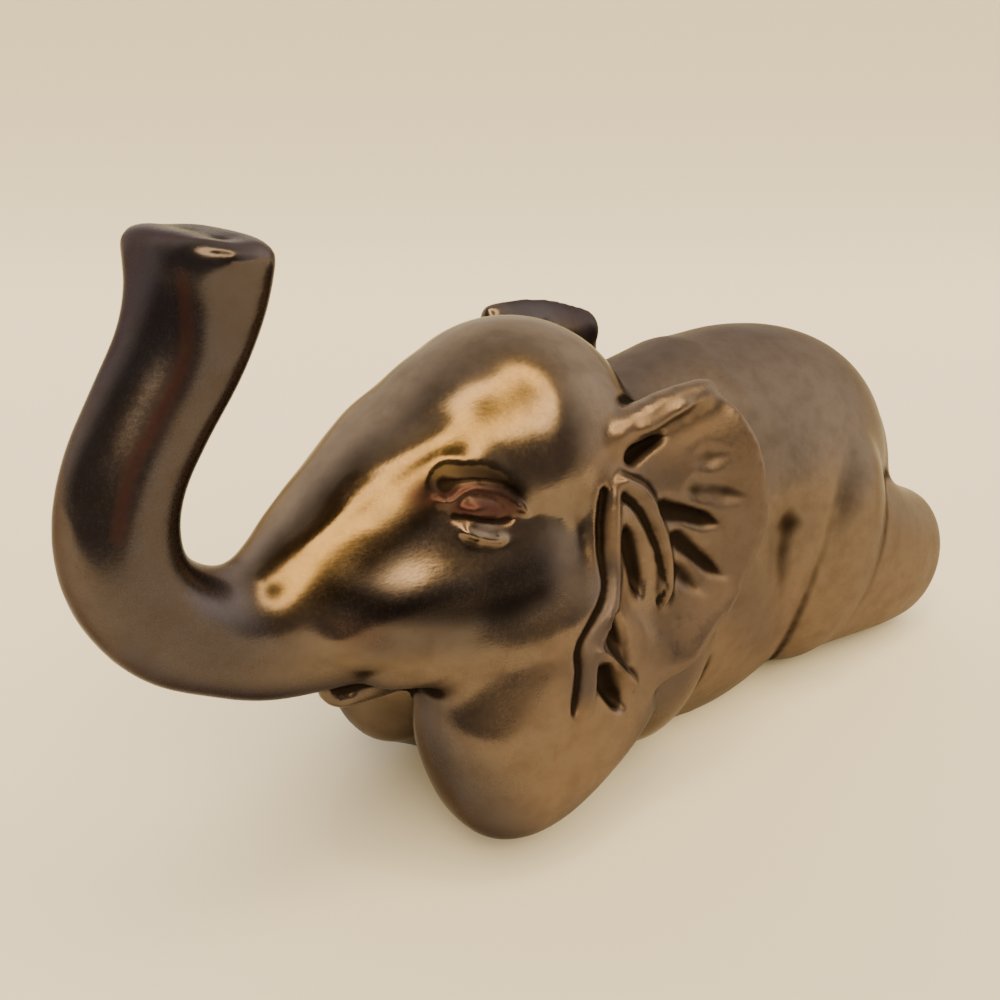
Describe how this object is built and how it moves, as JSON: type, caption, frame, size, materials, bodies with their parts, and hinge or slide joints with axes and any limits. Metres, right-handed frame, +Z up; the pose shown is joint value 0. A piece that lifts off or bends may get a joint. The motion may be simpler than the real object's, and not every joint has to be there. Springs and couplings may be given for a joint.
{
  "type": "elephant figurine",
  "caption": "Ceramic elephant lying on its belly with raised trunk, fanned ears and bronze lustre glaze, cast as one piece and standing free on a flat surface.",
  "frame": {"origin": "on the surface the figure rests on, under the middle of its bounding box", "axes": "+Z up, -X towards the raised trunk, +X towards the hind feet, -Y towards the side the picture shows"},
  "size_m": [0.286, 0.0918, 0.1536],
  "materials": {
    "glaze": "bronze lustre glaze, glossy and metallic, worn paler on the high places, with a bare unglazed underside"
  },
  "bodies": {
    "root": {"elephant": "glaze"}
  },
  "joints": []
}
